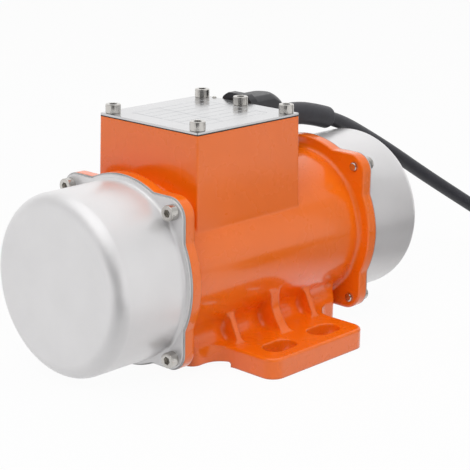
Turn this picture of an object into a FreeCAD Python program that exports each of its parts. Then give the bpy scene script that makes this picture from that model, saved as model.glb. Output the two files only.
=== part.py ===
import FreeCAD, Part
import math
import os
from FreeCAD import Placement, Rotation, Vector

# A foot-mounted vibration motor. The shaft runs along X, the feet stand on z = 0, the terminal box is on top.
# The cable leaves the box on its +X side. Millimetres throughout.

# Cast body
barrel_radius = 46.0
barrel_wall = 8.0
flange_inner_face = 70.0
flange_thickness = 7.0
flange_radius = barrel_radius + 7.3
flange_floor_gap = 0.7
flange_edge_radius = 1.0
shaft_height = flange_radius + flange_floor_gap
flange_root_radius = 3.0
ear_half_side = barrel_radius + 1.7
ear_corner_radius = 11.0
ear_blend_radius = 5.0
bolt_circle_radius = barrel_radius + 11.1

# Feet, web and ribs
foot_half_length = 39.8
foot_reach = 77.5
foot_thickness = 11.7
foot_corner_radius = 8.0
foot_edge_radius = 1.5
pad_width = 31.0
pad_step = 3.0
web_half_length = 62.0
web_inset = 8.0
web_corner_radius = 6.0
web_blend_radius = 12.0
slot_length = 22.0
slot_width = 13.0
slot_edge_radius = 0.6
slot_inset_x = 21.0
slot_inset_y = 14.5
side_rib_spacing = 64.0
side_rib_thickness = 4.0
middle_rib_thickness = 6.4
side_rib_toe = 3.3
middle_rib_toe = 9.9
rib_root_radius = 3.0
barrel_root_radius = 8.5

# Terminal box and lid
box_centre_x = -18.5
box_length = 81.0
box_width = 76.2
box_rise = 30.9
box_wall = 4.5
box_corner_radius = 1.2
box_draft = 0.015
box_root_radius = 1.2
box_floor_wall = 3.5
lid_gasket_thickness = 0.5
lid_thickness = 1.3
lid_screw_inset = 5.25
earth_screw_inset = 15.0
post_radius = 4.5
terminal_post_spacing = 30.0
terminal_seat_height = 2.0
lead_hole_radius = 6.0
lead_radius = 1.1
lead_bend_radius = 3.0
lead_rise = 1.9
middle_screw_inset = 6.5
middle_screw_y = 0.9

# End covers
cover_radius = barrel_radius + 4.0
cover_wall = 1.5
cover_end = 126.0
cover_edge_radius = 8.5
cover_root_radius = 1.8
cover_gasket_thickness = 0.4
brim_thickness = 1.2
brim_setback = 0.8

# Shaft, rotor and stator
air_gap = 0.4
core_half_length = 26.0
rotor_seat_radius = 12.0
bearing_seat_radius = 10.0
weight_seat_radius = 8.0
thread_radius = 6.0
shaft_end = 117.0
slot_count = 24
slot_depth = 8.0
slot_mouth = 1.4
tooth_lip = 2.0
stator_yoke = 4.6
slot_gap = 3.6
winding_reach = 18.0
winding_clearance = 0.4
bundle_swell = 3.0

# Ball bearings and the shields that carry them
bearing_inner_face = 55.0
bearing_width = 14.0
bearing_radius = 23.5
ring_thickness = 3.9
ball_radius = 3.7
ball_clearance = 0.3
ball_count = 8
shield_rim_thickness = 5.0
shield_rim_width = 8.3
seal_radius = 14.0
running_clearance = 0.05
spigot_wall = 5.0
spigot_length = 12.0
hub_wall = 6.0
seal_seat = 1.0
cage_width = 9.2
end_ring_length = 7.0
end_ring_wall = 8.2

# Eccentric weights
weight_radius = 43.0
weight_thickness = 12.0
weight_gap = 1.0
weight_hub_radius = 15.0
first_weight_face = 82.0
key_side = 5.0
clamp_slit = 1.5
nut_thickness = 6.0
nut_flat = 19.0
nut_washer_radius = 11.0
nut_washer_thickness = 1.5
clamp_lug_width = 16.0
clamp_lug_margin = 6.0
clamp_screw_rise = 9.0
clamp_screw_length = 20.0

# Terminal block
block_length = 40.0
block_width = 22.0
block_base_height = 7.0
block_wall_height = 13.0
block_wall = 1.8
stud_pitch = 9.0
stud_nut_flat = 7.0
stud_nut_height = 3.2
stud_nut_rise = 1.8
stud_length = 14.0
block_screw_length = 9.0
low_head_height = 3.0

# Screws: shank radius, head radius, head height, key width
m5 = (2.5, 4.25, 5.0, 4.0)
m4 = (2.0, 3.5, 4.0, 3.0)
cover_screw_length = 10.0
lid_screw_length = 8.0
shield_screw_length = 16.0
hole_depth_beyond = 1.0
head_edge_radius = 0.5

# Cable gland on the +X wall of the terminal box
gland_y = 12.5
gland_drop = 12.9
gland_thread_radius = 9.9
gland_bore_radius = 7.4
gland_pad_radius = 17.0
gland_pad_height = 1.2
gland_washer_thickness = 1.5
gland_flat = 32.0
gland_body_radius = 17.2
gland_body_length = 6.0
gland_collar_radius = 13.0
gland_collar_length = 9.0
gland_tail_beyond = 2.0
gland_nut_flat = 34.0
gland_nut_radius = 18.2
gland_nut_length = 27.0
gland_nut_mouth_radius = 9.6
locknut_flat = 22.0
locknut_thickness = 4.5
locknut_room_radius = 14.5

# Cable, from the gland to its coil and plug. Each point lists x, y, z.
cable_radius = 4.5
cable_length = 1500.0
sleeve_radius = 6.9
sleeve_end_radius = 1.8
sleeve_overlap = 8.0
sleeve_share = 0.42
cable_route = [
    (57.7, 12.5, 118.0), (80.0, 12.5, 118.0), (99.0, 12.9, 113.8), (124.0, 14.5, 106.2),
    (148.0, 15.5, 94.8), (176.0, 13.0, 79.2), (205.0, 6.0, 60.0), (232.0, -6.0, 41.0),
    (256.0, -19.5, 23.3), (279.0, -34.0, 10.5), (299.5, -49.0, 5.5), (314.0, -67.5, 5.5),
]
plug_route = [
    (269.0, -155.5, 14.5), (246.0, -155.0, 12.5), (222.0, -156.0, 12.0), (198.0, -158.0, 14.5),
    (176.0, -159.0, 18.5), (154.0, -159.0, 18.5),
]
coil_centre = (271.0, -101.0)
coil_radius = 50.0
coil_tie_angle = 135.0
tie_width = 12.0
tie_thickness = 1.0
plug_radius = 18.5
plug_length = 34.0
plug_neck_length = 26.0
pin_radius = 2.4
pin_length = 19.0
pin_spacing = 19.0
pin_root = 12.0
plug_edge_radius = 3.0
plug_neck_radius = 8.5
plug_neck_wall = 1.2

# Places worked out from the sizes above
bore_radius = barrel_radius - barrel_wall
box_top = shaft_height + barrel_radius + box_rise
gland_z = box_top - gland_drop
flange_face = flange_inner_face + flange_thickness
brim_inner_face = flange_face + cover_gasket_thickness
brim_face = brim_inner_face + brim_thickness
cover_bore_radius = cover_radius - cover_wall
stator_bore_radius = bore_radius - stator_yoke - slot_depth - tooth_lip
rotor_radius = stator_bore_radius - air_gap
stator_half_length = core_half_length - 1.0
bearing_outer_face = bearing_inner_face + bearing_width
ball_circle_radius = (bearing_radius + bearing_seat_radius) / 2
shield_rim_radius = bore_radius + shield_rim_width
shield_inner_face = flange_face - shield_rim_thickness
shield_screw_radius = bore_radius + barrel_wall / 2
second_weight_face = first_weight_face + weight_thickness + weight_gap
nut_face = second_weight_face + weight_thickness + weight_gap
slot_spacing_x = 2 * (foot_half_length - slot_inset_x)
slot_spacing_y = 2 * (foot_reach - slot_inset_y)
box_half_length = box_length / 2
box_half_width = box_width / 2
box_end_x = box_centre_x + box_half_length
lid_bottom = box_top + lid_gasket_thickness
lid_top = lid_bottom + lid_thickness
cavity_radius = barrel_radius + box_floor_wall
gland_face = box_end_x + gland_pad_height
gland_body_face = gland_face + gland_washer_thickness
gland_nut_face = gland_body_face + gland_body_length
gland_mouth = gland_nut_face + gland_nut_length
web_top = foot_thickness
web_half_width = barrel_radius - web_inset
block_bottom = shaft_height + cavity_radius + terminal_seat_height
terminal_top = block_bottom + block_base_height + stud_nut_rise
lead_height = block_bottom + block_base_height + lead_rise
lead_end = 0.6 * stud_nut_flat
lead_hole_x = box_centre_x - box_half_length + box_wall + lead_hole_radius + 1.0
clamp_screw_height = shaft_height + weight_seat_radius + clamp_screw_rise
gland_tail_end = box_end_x - box_wall - locknut_thickness - 2 * gland_tail_beyond
stud_places = [box_centre_x + i * stud_pitch for i in (-1, 0, 1)]
terminal_screw_places = [box_centre_x + i * terminal_post_spacing / 2 for i in (-1, 1)]
earth_place = (box_end_x - earth_screw_inset, earth_screw_inset - box_half_width)
shaft_x = Vector(1, 0, 0)


def save(name, shape):
    """Writes one sub-part."""
    shape.exportStep(os.path.join("parts", name + ".step"))


def joined(shapes):
    """Fuses solids into one."""
    whole = shapes[0].multiFuse(shapes[1:])
    return whole.removeSplitter()


def group(shapes):
    """Keeps solids apart in one sub-part."""
    return Part.makeCompound(shapes)


def disc(radius, start, end, y=0.0, z=shaft_height):
    """A cylinder along X."""
    return Part.makeCylinder(radius, end - start, Vector(start, y, z), shaft_x)


def ring(outer, inner, start, end, y=0.0, z=shaft_height):
    """A tube along X."""
    return disc(outer, start, end, y, z).cut(disc(inner, start - 1, end + 1, y, z))


def post(radius, x, y, bottom, top):
    """An upright cylinder."""
    return Part.makeCylinder(radius, top - bottom, Vector(x, y, bottom))


def block(x0, x1, y0, y1, z0, z1):
    """A box between two corners."""
    return Part.makeBox(x1 - x0, y1 - y0, z1 - z0, Vector(x0, y0, z0))


def face_of(edges):
    """A flat face inside a closed outline."""
    return Part.Face(Part.Wire(Part.__sortEdges__(edges)))


def polygon(points):
    """A flat face with straight sides."""
    return Part.Face(Part.makePolygon([Vector(*p) for p in points + points[:1]]))


def line(a, b):
    """A straight edge."""
    return Part.makeLine(Vector(*a), Vector(*b))


def arc(a, b, c):
    """A round edge through three points."""
    return Part.Arc(Vector(*a), Vector(*b), Vector(*c)).toShape()


def turned(profile):
    """Turns a face about the shaft axis."""
    return profile.revolve(Vector(0, 0, shaft_height), shaft_x, 360)


def mirrored(shape):
    """The same piece at the other end of the motor."""
    return shape.mirror(Vector(0, 0, 0), shaft_x)


def both_sides(shape):
    """A piece and its twin on the other side of the middle plane."""
    return [shape, shape.mirror(Vector(0, 0, 0), Vector(0, 1, 0))]


def about_shaft(shape, angle):
    """Turns a piece about the shaft axis."""
    copy = shape.copy()
    copy.rotate(Vector(0, 0, shaft_height), shaft_x, angle)
    return copy


def concave_ring(face_x, radius, size):
    """The round root between a tube of the given radius and a face that looks towards +X."""
    z = shaft_height + radius
    middle = size * (1 - math.sqrt(0.5))
    return turned(face_of([
        line((face_x, 0, z - 1), (face_x, 0, z + size)),
        arc((face_x, 0, z + size), (face_x + middle, 0, z + middle), (face_x + size, 0, z)),
        line((face_x + size, 0, z), (face_x + size, 0, z - 1)),
        line((face_x + size, 0, z - 1), (face_x, 0, z - 1)),
    ]))


def hexagon(flat, start, end, y=0.0, z=shaft_height):
    """A hexagonal bar along X with flats above and below."""
    corner = flat / math.sqrt(3)
    points = []
    for i in range(6):
        turn = math.radians(60 * i)
        points.append((start, y + corner * math.cos(turn), z + corner * math.sin(turn)))
    return polygon(points).extrude(Vector(end - start, 0, 0))


def socket_screw(size, length):
    """A socket head screw along Z, its head above z = 0."""
    shank_radius, head_radius, head_height, key_width = size
    head = post(head_radius, 0, 0, 0, head_height)
    head = head.makeFillet(head_edge_radius, top_edges(head, head_height))
    shank = post(shank_radius, 0, 0, -length, 0.5)
    key = hexagon(key_width, 0, head_height, 0, 0)
    key.rotate(Vector(0, 0, 0), Vector(0, 1, 0), -90)
    key.translate(Vector(0, 0, head_height / 2))
    return joined([head, shank]).cut(key)


def placed(shape, x, y, z, direction):
    """Moves a piece that was made along Z."""
    copy = shape.copy()
    copy.Placement = Placement(Vector(x, y, z), Rotation(Vector(0, 0, 1), Vector(*direction)))
    return copy


def on_bolt_circle(radius, angles):
    """Places around the shaft, as pairs of y and z."""
    places = []
    for angle in angles:
        turn = math.radians(angle)
        places.append((radius * math.cos(turn), shaft_height + radius * math.sin(turn)))
    return places


def cover_holes():
    """The four screw places of an end cover."""
    return on_bolt_circle(bolt_circle_radius, (45, 135, 225, 315))


def shield_holes():
    """The four screw places of a bearing shield."""
    return on_bolt_circle(shield_screw_radius, (0, 90, 180, 270))


def lid_holes():
    """The five screw places of the terminal lid."""
    x = box_half_length - lid_screw_inset
    y = box_half_width - lid_screw_inset
    corners = [(box_centre_x + i * x, j * y) for i in (-1, 1) for j in (-1, 1)]
    return corners + [(box_end_x - middle_screw_inset, middle_screw_y)]


def eared_plate(start, end, setback=0.0):
    """A round plate with four rounded ears, the outline of a flange and of a cover's brim."""
    side = ear_half_side - setback
    square = block(start, end, -side, side, shaft_height - side, shaft_height + side)
    square = square.makeFillet(ear_corner_radius - setback, along_x(square, side))
    plate = joined([square, disc(flange_radius - setback, start, end)])
    kinks = [e for e in plate.Edges if is_kink(e, side)]
    return plate.makeFillet(ear_blend_radius, kinks)


def along_x(shape, reach):
    """The edges along X at a square's corners."""
    picked = []
    for edge in shape.Edges:
        box = edge.BoundBox
        if box.XLength > 0.1 and box.YLength < 0.01 and abs(abs(box.YMin) - reach) < 0.01:
            picked.append(edge)
    return picked


def is_kink(edge, side):
    """Tells whether an edge is where a plate's circle meets its square."""
    box = edge.BoundBox
    straight = box.XLength > 0.1 and box.YLength < 0.01 and box.ZLength < 0.01
    across = abs(abs(box.YMin) - side) < 0.01
    upright = abs(abs(box.ZMin - shaft_height) - side) < 0.01
    reach = math.hypot(box.YMin, box.ZMin - shaft_height)
    return straight and across != upright and reach < side + 10


def upright_edges(shape, x, y):
    """The upright edges of a plate at one corner and its three twins."""
    picked = []
    for edge in shape.Edges:
        box = edge.BoundBox
        upright = box.ZLength > 0.5 and box.XLength < 0.01 and box.YLength < 0.01
        if upright and abs(abs(box.XMin) - x) < 0.01 and abs(abs(box.YMin) - y) < 0.01:
            picked.append(edge)
    return picked


def foot_slot(x, y):
    """One slot, long in X."""
    reach = (slot_length - slot_width) / 2
    radius = slot_width / 2
    ends = [post(radius, x + i * reach, y, -1, foot_thickness + 1) for i in (-1, 1)]
    middle = block(x - reach, x + reach, y - radius, y + radius, -1, foot_thickness + 1)
    return joined(ends + [middle])


def is_slot_rim(edge):
    """Tells whether an edge of the foot's top belongs to a slot."""
    centre = edge.BoundBox.Center
    x = abs(abs(centre.x) - slot_spacing_x / 2)
    y = abs(abs(centre.y) - slot_spacing_y / 2)
    return x < slot_length / 2 and y < slot_width / 2 + 0.01


def foot_slots():
    """The four slots."""
    x = slot_spacing_x / 2
    y = slot_spacing_y / 2
    return [foot_slot(i * x, j * y) for i in (-1, 1) for j in (-1, 1)]


def foot_outline(bottom, top):
    """A plate with the outline of both feet and the web between them."""
    foot = block(-foot_half_length, foot_half_length, -foot_reach, foot_reach, bottom, top)
    web = block(-web_half_length, web_half_length, -web_half_width, web_half_width, bottom, top)
    plate = joined([foot, web])
    plate = plate.makeFillet(web_blend_radius, upright_edges(plate, foot_half_length, web_half_width))
    plate = plate.makeFillet(foot_corner_radius, upright_edges(plate, foot_half_length, foot_reach))
    return plate.makeFillet(web_corner_radius, upright_edges(plate, web_half_length, web_half_width))


def top_edges(shape, z):
    """The edges of a plate's flat top."""
    return [e for e in shape.Edges if e.BoundBox.ZMin > z - 0.01]


def feet():
    """Both feet and the web, with their slots, raised off the floor in the middle."""
    plate = foot_outline(0, foot_thickness)
    plate = plate.makeFillet(foot_edge_radius, top_edges(plate, foot_thickness))
    plate = plate.cut(joined(foot_slots()))
    rims = [e for e in top_edges(plate, foot_thickness) if is_slot_rim(e)]
    plate = plate.makeFillet(slot_edge_radius, rims)
    inner = foot_reach - pad_width
    tunnel = block(-flange_face, flange_face, -inner, inner, -1, pad_step)
    long_edges = [e for e in tunnel.Edges if e.BoundBox.XLength > 1 and e.BoundBox.ZMin > 0]
    return plate.cut(tunnel.makeFillet(pad_step / 2, long_edges))


def root_centre():
    """The middle of the round corner between the barrel and the foot, as y and z."""
    z = web_top + barrel_root_radius
    return math.sqrt((barrel_radius + barrel_root_radius) ** 2 - (shaft_height - z) ** 2), z


def barrel_root():
    """The round fill that joins the barrel to the foot and the web, on the +Y side."""
    y, z = root_centre()
    share = barrel_radius / (barrel_radius + barrel_root_radius)
    touch_y = y * share
    touch_z = shaft_height - (shaft_height - z) * share
    x = -web_half_length
    profile = face_of([
        line((x, 0, web_top - 2), (x, y, web_top - 2)),
        line((x, y, web_top - 2), (x, y, web_top)),
        arc((x, y, web_top), (x, y - barrel_root_radius, z), (x, touch_y, touch_z)),
        line((x, touch_y, touch_z), (x, 0, touch_z)),
        line((x, 0, touch_z), (x, 0, web_top - 2)),
    ])
    fill = profile.extrude(Vector(2 * web_half_length, 0, 0))
    return fill.common(foot_outline(0, shaft_height))


def side_rib(x):
    """A straight rib from the barrel down to a foot."""
    toe_y = root_centre()[0] + side_rib_toe
    top_y = 0.78 * barrel_radius
    top_z = shaft_height - 0.46 * barrel_radius
    profile = polygon([
        (x, 0, web_top - 2), (x, toe_y, web_top - 2), (x, toe_y, web_top), (x, top_y, top_z), (x, 0, top_z),
    ])
    return profile.extrude(Vector(side_rib_thickness, 0, 0))


def middle_rib(x):
    """The rib at the middle, with a hollow outer edge."""
    toe_y = root_centre()[0] + middle_rib_toe
    top_y = 0.92 * barrel_radius
    top_z = shaft_height - 0.38 * barrel_radius
    waist_z = shaft_height - 0.61 * barrel_radius
    waist = (x, top_y + 0.6, waist_z)
    hollow = (x, top_y + 0.37 * (toe_y - top_y), web_top + 0.48 * (waist_z - web_top))
    profile = face_of([
        line((x, 0, web_top - 2), (x, toe_y, web_top - 2)),
        line((x, toe_y, web_top - 2), (x, toe_y, web_top)),
        arc((x, toe_y, web_top), hollow, waist),
        line(waist, (x, top_y, top_z)),
        line((x, top_y, top_z), (x, 0, top_z)),
        line((x, 0, top_z), (x, 0, web_top - 2)),
    ])
    return profile.extrude(Vector(middle_rib_thickness, 0, 0))


def ribs():
    """Three ribs on each side."""
    left = -side_rib_spacing / 2 - side_rib_thickness / 2
    pieces = both_sides(side_rib(left))
    pieces += both_sides(side_rib(left + side_rib_spacing))
    pieces += both_sides(middle_rib(-middle_rib_thickness / 2))
    return pieces


def is_rib_root(edge):
    """Tells whether an edge is where a rib's side meets the barrel, the fill or the foot."""
    sides = [middle_rib_thickness / 2]
    sides += [side_rib_spacing / 2 + i * side_rib_thickness / 2 for i in (-1, 1)]
    box = edge.BoundBox
    if box.XLength > 0.01 or min(abs(abs(box.XMin) - side) for side in sides) > 0.01:
        return False
    point = edge.valueAt((edge.FirstParameter + edge.LastParameter) / 2)
    y, z = root_centre()
    on_barrel = abs(math.hypot(point.y, point.z - shaft_height) - barrel_radius) < 0.02
    on_fill = abs(math.hypot(abs(point.y) - y, point.z - z) - barrel_root_radius) < 0.02
    return on_barrel or on_fill or abs(point.z - web_top) < 0.02


def barrel_on_feet():
    """The barrel, feet, web and ribs, with soft roots."""
    barrel = disc(barrel_radius, -flange_inner_face, flange_inner_face)
    whole = joined([barrel, feet()] + both_sides(barrel_root()) + ribs())
    return whole.makeFillet(rib_root_radius, [e for e in whole.Edges if is_rib_root(e)])


def flange():
    """The +X flange, its rim softened on the side of the barrel."""
    plate = eared_plate(flange_inner_face, flange_face)
    rim = [e for e in plate.Edges if e.BoundBox.XMax < flange_inner_face + 0.01]
    plate = plate.makeFillet(flange_edge_radius, rim)
    root = mirrored(concave_ring(-flange_inner_face, barrel_radius, flange_root_radius))
    return joined([plate, root])


def rounded_rectangle(half_x, half_y, radius, z):
    """A closed outline with round corners."""
    plate = block(-half_x, half_x, -half_y, half_y, z, z + 1)
    plate = plate.makeFillet(radius, upright_edges(plate, half_x, half_y))
    plate.translate(Vector(box_centre_x, 0, 0))
    bottom = [f for f in plate.Faces if f.BoundBox.ZMax < z + 0.01]
    return bottom[0].OuterWire


def box_shell():
    """The terminal box's outside, a little wider at the bottom."""
    bottom = shaft_height + 6.0
    spread = (box_top - bottom) * box_draft
    wires = [
        rounded_rectangle(box_half_length + spread, box_half_width + spread, box_corner_radius, bottom),
        rounded_rectangle(box_half_length, box_half_width, box_corner_radius, box_top),
    ]
    pad = disc(gland_pad_radius, box_end_x - box_wall, gland_face, gland_y, gland_z)
    roof = block(0, gland_face + 1, -box_width, box_width, box_top, box_top + 2 * gland_pad_radius)
    return joined([Part.makeLoft(wires, True, True), pad.cut(roof)])


def box_cavity():
    """The room inside the terminal box, above the barrel."""
    half_x = box_half_length - box_wall
    half_y = box_half_width - box_wall
    room = block(box_centre_x - half_x, box_centre_x + half_x, -half_y, half_y, shaft_height, box_top + 1)
    room = room.cut(disc(cavity_radius, -flange_face, flange_face))
    bosses = [post(lid_screw_inset, x, y, shaft_height, box_top) for x, y in lid_holes()]
    return room.cut(joined(bosses + terminal_posts()))


def terminal_posts():
    """Three posts on the barrel, two for the terminal block and one for the earth screw."""
    places = [(x, 0) for x in terminal_screw_places] + [earth_place]
    return [post(post_radius, x, y, shaft_height, block_bottom) for x, y in places]


def is_box_root(edge):
    """Tells whether an edge is where the terminal box meets the barrel."""
    point = edge.valueAt((edge.FirstParameter + edge.LastParameter) / 2)
    on_barrel = abs(math.hypot(point.y, point.z - shaft_height) - barrel_radius) < 0.02
    beside = abs(point.x - box_centre_x) < box_half_length + 2
    return on_barrel and beside and point.z > shaft_height + barrel_radius / 3


def motor_body():
    """The cast body."""
    body = joined([barrel_on_feet(), box_shell()])
    body = body.makeFillet(box_root_radius, [e for e in body.Edges if is_box_root(e)])
    body = joined([body, flange(), mirrored(flange())])
    return body.cut(joined(body_cuts()))


def body_cuts():
    """Everything that is taken out of the casting."""
    cuts = [disc(bore_radius, -flange_face - 1, flange_face + 1), box_cavity()]
    for side in (-1, 1):
        rim = disc(shield_rim_radius, shield_inner_face, flange_face + 1)
        cuts.append(rim if side > 0 else mirrored(rim))
    for y, z in cover_holes():
        cuts.append(disc(m5[0], -flange_face - 1, -flange_inner_face + 1, y, z))
        cuts.append(disc(m5[0], flange_inner_face - 1, flange_face + 1, y, z))
    depth = shield_screw_length - shield_rim_thickness
    for y, z in shield_holes():
        tapped = disc(m4[0], shield_inner_face - depth, shield_inner_face + 1, y, z)
        cuts += [tapped, mirrored(tapped)]
    for x, y in lid_holes():
        cuts.append(post(m5[0], x, y, box_top - lid_screw_length, box_top + 1))
    tapped_bottom = block_bottom - block_screw_length - hole_depth_beyond
    for x, y in [(x, 0) for x in terminal_screw_places] + [earth_place]:
        cuts.append(post(m4[0], x, y, tapped_bottom, block_bottom + 1))
    cuts.append(disc(gland_thread_radius, box_end_x - 2 * box_wall, gland_face + 1, gland_y, gland_z))
    cuts.append(disc(locknut_room_radius, box_end_x - 3 * box_wall, box_end_x - box_wall, gland_y, gland_z))
    cuts.append(post(lead_hole_radius, lead_hole_x, 0, shaft_height, shaft_height + cavity_radius + 1))
    return cuts


def cover_gasket():
    """The gasket under a cover's brim."""
    plate = eared_plate(flange_face, brim_inner_face)
    cuts = [disc(cover_bore_radius, flange_face - 1, brim_inner_face + 1)]
    cuts += [disc(m5[0], flange_face - 1, brim_inner_face + 1, y, z) for y, z in cover_holes()]
    return plate.cut(joined(cuts))


def end_cover():
    """A deep round cover with an eared brim."""
    tube = disc(cover_radius, brim_inner_face, cover_end)
    tube = tube.makeFillet(cover_edge_radius, end_edges(tube, cover_end))
    inside_end = cover_end - cover_wall
    room = disc(cover_bore_radius, brim_inner_face - 1, inside_end)
    room = room.makeFillet(cover_edge_radius - cover_wall, end_edges(room, inside_end))
    brim = eared_plate(brim_inner_face, brim_face, brim_setback)
    root = concave_ring(brim_face, cover_radius, cover_root_radius)
    holes = [disc(m5[0], brim_inner_face - 1, brim_face + 1, y, z) for y, z in cover_holes()]
    return joined([tube, brim, root]).cut(joined([room] + holes))


def end_edges(shape, x):
    """The round edge at one end of a cylinder."""
    return [e for e in shape.Edges if e.BoundBox.XMin > x - 0.1]


def cover_screws():
    """The four screws of the +X cover."""
    screw = socket_screw(m5, cover_screw_length)
    return group([placed(screw, brim_face, y, z, (1, 0, 0)) for y, z in cover_holes()])


def bearing_shield():
    """The disc that closes the barrel and carries a bearing."""
    rim = ring(shield_rim_radius, weight_seat_radius + 2, shield_inner_face, flange_face)
    spigot_start = shield_inner_face - spigot_length
    spigot = ring(bore_radius, bore_radius - spigot_wall, spigot_start, shield_inner_face + 1)
    hub_radius = bearing_radius + hub_wall
    hub = ring(hub_radius, bearing_radius, bearing_inner_face, bearing_outer_face)
    seat_radius = bearing_radius - ring_thickness
    shoulder = ring(hub_radius, seat_radius, bearing_outer_face, shield_inner_face + 1)
    holes = [disc(m4[0], shield_inner_face - 1, flange_face + 1, y, z) for y, z in shield_holes()]
    seal_room = disc(seal_radius, shield_inner_face + seal_seat, flange_face + 1)
    return joined([rim, spigot, hub, shoulder]).cut(joined(holes + [seal_room]))


def shield_screws():
    """The four screws of the +X bearing shield."""
    screw = socket_screw(m4, shield_screw_length)
    return group([placed(screw, flange_face, y, z, (1, 0, 0)) for y, z in shield_holes()])


def shaft_seal():
    """The rubber ring around the shaft in the +X shield."""
    inner = weight_seat_radius + running_clearance
    return ring(seal_radius, inner, shield_inner_face + seal_seat, flange_face)


def ball_track():
    """The round groove that the balls run in."""
    centre = Vector((bearing_inner_face + bearing_outer_face) / 2, 0, shaft_height)
    return Part.makeTorus(ball_circle_radius, ball_radius + ball_clearance, centre, shaft_x)


def bearing_outer_ring():
    """The outer ring of the +X bearing."""
    inner = bearing_radius - ring_thickness
    return ring(bearing_radius, inner, bearing_inner_face, bearing_outer_face).cut(ball_track())


def bearing_inner_ring():
    """The inner ring of the +X bearing."""
    outer = bearing_seat_radius + ring_thickness
    return ring(outer, bearing_seat_radius, bearing_inner_face, bearing_outer_face).cut(ball_track())


def ball_places():
    """The middles of one bearing's balls."""
    x = (bearing_inner_face + bearing_outer_face) / 2
    angles = [360.0 * i / ball_count for i in range(ball_count)]
    return [(x, y, z) for y, z in on_bolt_circle(ball_circle_radius, angles)]


def bearing_balls():
    """The balls of the +X bearing."""
    return group([Part.makeSphere(ball_radius, Vector(*place)) for place in ball_places()])


def ball_cage():
    """The ring that keeps the balls apart."""
    middle = (bearing_inner_face + bearing_outer_face) / 2
    thin = ring_thickness / 4
    start = middle - cage_width / 2
    cage = ring(ball_circle_radius + thin, ball_circle_radius - thin, start, start + cage_width)
    pockets = [Part.makeSphere(ball_radius, Vector(*place)) for place in ball_places()]
    return cage.cut(joined(pockets))


def rotor_shaft():
    """The stepped shaft with a keyway at each end."""
    steps = [
        disc(rotor_seat_radius, -bearing_inner_face, bearing_inner_face),
        disc(bearing_seat_radius, -shield_inner_face, shield_inner_face),
        disc(weight_seat_radius, -nut_face, nut_face),
        disc(thread_radius, -shaft_end, shaft_end),
    ]
    whole = joined(steps)
    return whole.cut(joined([weight_key(), mirrored(weight_key())]))


def weight_key():
    """The key of the +X fixed weight."""
    top = shaft_height + weight_seat_radius + key_side / 2
    return block(first_weight_face + 1, first_weight_face + weight_thickness - 1,
                 -key_side / 2, key_side / 2, top - key_side, top)


def rotor_core():
    """The stack of steel sheets on the shaft."""
    return ring(rotor_radius, rotor_seat_radius, -core_half_length, core_half_length)


def rotor_end_ring():
    """The cast ring at the +X end of the rotor core."""
    outer = rotor_radius - 2 * air_gap
    end = core_half_length + end_ring_length
    solid = ring(outer, outer - end_ring_wall, core_half_length, end)
    return solid.makeFillet(1.0, end_edges(solid, end))


def half_disc(start, end):
    """The heavy half of an eccentric weight, hanging down."""
    whole = disc(weight_radius, start, end)
    upper = block(start - 1, end + 1, -weight_radius, weight_radius,
                  shaft_height, shaft_height + weight_radius)
    return whole.cut(upper)


def fixed_weight():
    """The keyed weight next to the +X shield."""
    start = first_weight_face
    end = start + weight_thickness
    solid = joined([half_disc(start, end), disc(weight_hub_radius, start, end)])
    solid = solid.cut(disc(weight_seat_radius, start - 1, end + 1))
    top = shaft_height + weight_seat_radius + key_side / 2
    return solid.cut(block(start - 1, end + 1, -key_side / 2, key_side / 2, shaft_height, top))


def adjustable_weight():
    """The outer weight, clamped on the shaft by a split hub."""
    start = second_weight_face
    end = start + weight_thickness
    lug_top = clamp_screw_height + clamp_lug_margin
    lug = block(start, end, -clamp_lug_width / 2, clamp_lug_width / 2, shaft_height, lug_top)
    solid = joined([half_disc(start, end), disc(weight_hub_radius, start, end), lug])
    solid = solid.cut(disc(weight_seat_radius + running_clearance, start - 1, end + 1))
    slit = block(start - 1, end + 1, -clamp_slit / 2, clamp_slit / 2, shaft_height, lug_top + 1)
    through = post(m5[0], 0, 0, -clamp_lug_width, clamp_lug_width)
    hole = placed(through, (start + end) / 2, 0, clamp_screw_height, (0, 1, 0))
    return solid.cut(joined([slit, hole]))


def clamp_screw():
    """The screw across the split hub of the +X adjustable weight."""
    middle = second_weight_face + weight_thickness / 2
    screw = socket_screw(m5, clamp_screw_length)
    return placed(screw, middle, -clamp_lug_width / 2, clamp_screw_height, (0, -1, 0))


def shaft_nut():
    """The nut and washer at the +X end of the shaft."""
    seat = nut_face + nut_washer_thickness
    hex_part = hexagon(nut_flat, seat, seat + nut_thickness)
    washer = disc(nut_washer_radius, nut_face, seat)
    return joined([hex_part, washer]).cut(disc(thread_radius, nut_face - 1, shaft_end + 1))


def stator_slot(width, inner, outer, reach):
    """One slot's room, above the shaft."""
    return block(-reach, reach, -width / 2, width / 2, shaft_height + inner, shaft_height + outer)


def stator_core():
    """The ring of steel sheets with its slots."""
    core = ring(bore_radius, stator_bore_radius, -stator_half_length, stator_half_length)
    inner = stator_bore_radius + tooth_lip
    reach = stator_half_length + 1
    slot = joined([
        stator_slot(slot_gap, inner, inner + slot_depth, reach),
        stator_slot(slot_mouth, stator_bore_radius - 1, inner + 1, reach),
    ])
    turns = [about_shaft(slot, 360.0 * i / slot_count) for i in range(slot_count)]
    return core.cut(Part.makeCompound(turns))


def stator_windings():
    """The coils in the slots and the bundles at both ends of the core."""
    inner = stator_bore_radius + tooth_lip + winding_clearance
    outer = stator_bore_radius + tooth_lip + slot_depth - winding_clearance
    start = stator_half_length + winding_clearance
    bar = stator_slot(slot_gap - 2 * winding_clearance, inner, outer, start + 1)
    bars = [about_shaft(bar, 360.0 * i / slot_count) for i in range(slot_count)]
    bundle = ring(outer + bundle_swell, inner - 2 * winding_clearance, start, start + winding_reach)
    bundle = bundle.makeFillet(bundle_swell, end_edges(bundle, start + winding_reach))
    return joined([bundle, mirrored(bundle)] + bars)


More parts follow.
